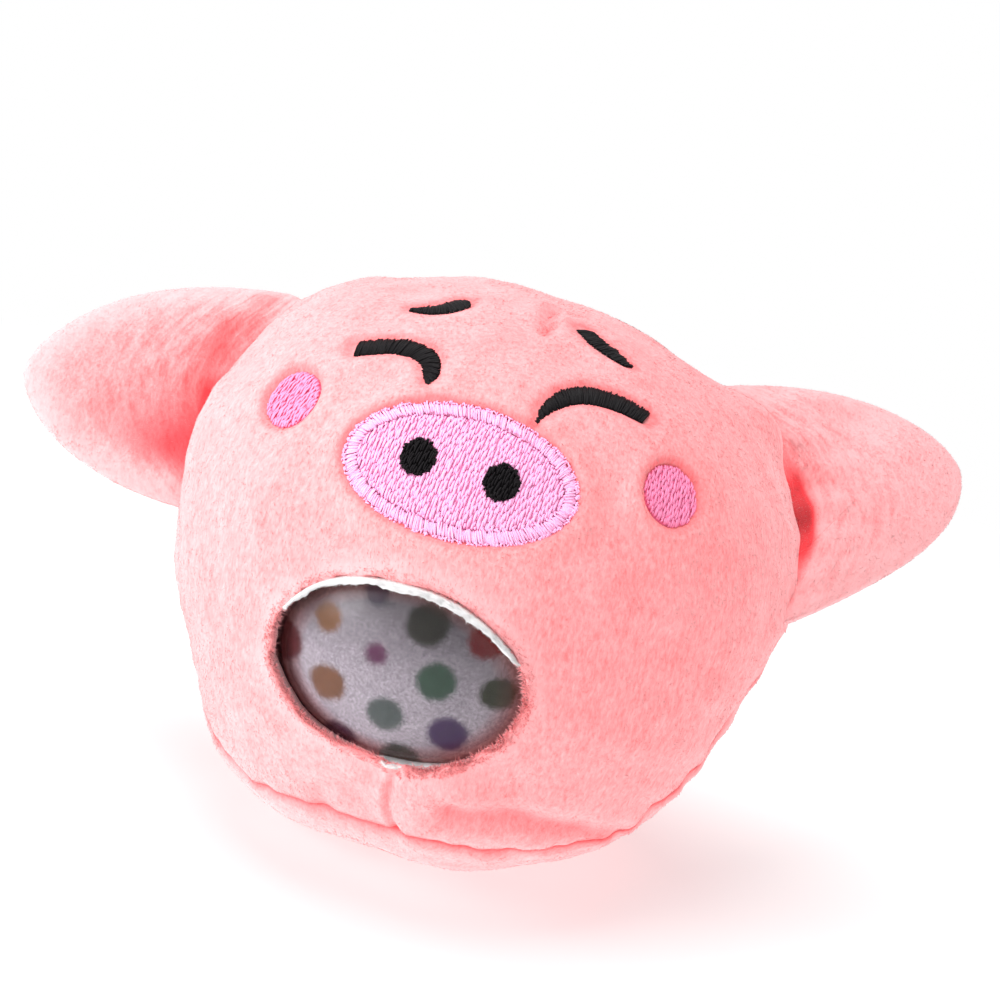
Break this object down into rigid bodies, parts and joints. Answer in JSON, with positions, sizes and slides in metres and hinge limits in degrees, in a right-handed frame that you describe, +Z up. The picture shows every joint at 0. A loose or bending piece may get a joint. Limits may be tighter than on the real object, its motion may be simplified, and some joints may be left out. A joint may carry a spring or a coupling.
{
  "type": "squeeze toy",
  "caption": "Round plush animal head with two padded ears, an embroidered face and an oval mouth that a bead-filled gel ball bulges through when the head is squeezed.",
  "frame": {"origin": "on the flat the head rests on, straight below the middle of the head", "axes": "+X to the viewer's right, the longest way, ear to ear; -Y the way the mouth looks; +Z up"},
  "size_m": [0.1394, 0.082, 0.0816],
  "materials": {
    "plush": "short brushed pile",
    "knit_backing": "fine knit",
    "wadding": "loose fibre",
    "pale_pink_thread": "satin stitch",
    "pink_thread": "fill stitch",
    "black_thread": "satin stitch",
    "frosted_skin": "frosted",
    "clear_gel": "clear gel",
    "plug_rubber": "matte",
    "bead_ochre": "smooth",
    "bead_grey_green": "smooth",
    "bead_plum": "smooth",
    "bead_orange": "smooth",
    "bead_green": "smooth",
    "bead_olive": "smooth",
    "bead_teal": "smooth",
    "bead_purple": "smooth",
    "bead_navy": "smooth"
  },
  "bodies": {
    "head": {"face_panel": "plush", "back_panel": "plush", "mouth_facing": "knit_backing", "snout_border": "pale_pink_thread", "snout_fill": "pink_thread", "nostril_left": "black_thread", "nostril_right": "black_thread", "eye_left": "black_thread", "eye_right": "black_thread", "brow_left": "black_thread", "brow_right": "black_thread", "cheek_left": "pink_thread", "cheek_right": "pink_thread", "ball_skin": "frosted_skin", "fill_plug": "plug_rubber", "ball_gel": "clear_gel", "bead_1": "bead_grey_green", "bead_2": "bead_plum", "bead_3": "bead_orange", "bead_4": "bead_green", "bead_5": "bead_olive", "bead_6": "bead_teal", "bead_7": "bead_purple", "bead_8": "bead_navy", "bead_9": "bead_ochre", "bead_10": "bead_grey_green", "bead_11": "bead_plum", "bead_12": "bead_orange", "bead_13": "bead_green", "bead_14": "bead_olive", "bead_15": "bead_teal", "bead_16": "bead_purple"},
    "ear_left": {"ear_front_left": "plush", "ear_back_left": "plush", "ear_wadding_left": "wadding"},
    "ear_right": {"ear_front_right": "plush", "ear_back_right": "plush", "ear_wadding_right": "wadding"},
    "bulge": {"bulge_skin": "frosted_skin", "bulge_gel": "clear_gel", "bead_ochre": "bead_ochre", "bead_grey_green": "bead_grey_green", "bead_plum": "bead_plum", "bead_orange": "bead_orange", "bead_green": "bead_green", "bead_olive": "bead_olive", "bead_teal": "bead_teal", "bead_purple": "bead_purple", "bead_navy": "bead_navy"}
  },
  "joints": [
    {"name": "ear_left_fold", "type": "hinge", "parent": "head", "child": "ear_left", "pos_m": [-0.04679, 0.0091, 0.05202], "axis": [-0.1528, 0.583, 0.7979], "range_deg": [-30, 45], "stiffness_Nm_per_rad": 0.02},
    {"name": "ear_right_fold", "type": "hinge", "parent": "head", "child": "ear_right", "pos_m": [0.04374, 0.01119, 0.05918], "axis": [0.5318, -0.4936, -0.6881], "range_deg": [-30, 45], "stiffness_Nm_per_rad": 0.02},
    {"name": "mouth_bulge", "type": "slide", "parent": "head", "child": "bulge", "axis": [0, -1, 0], "range_m": [0, 0.014], "stiffness_N_per_m": 250}
  ]
}
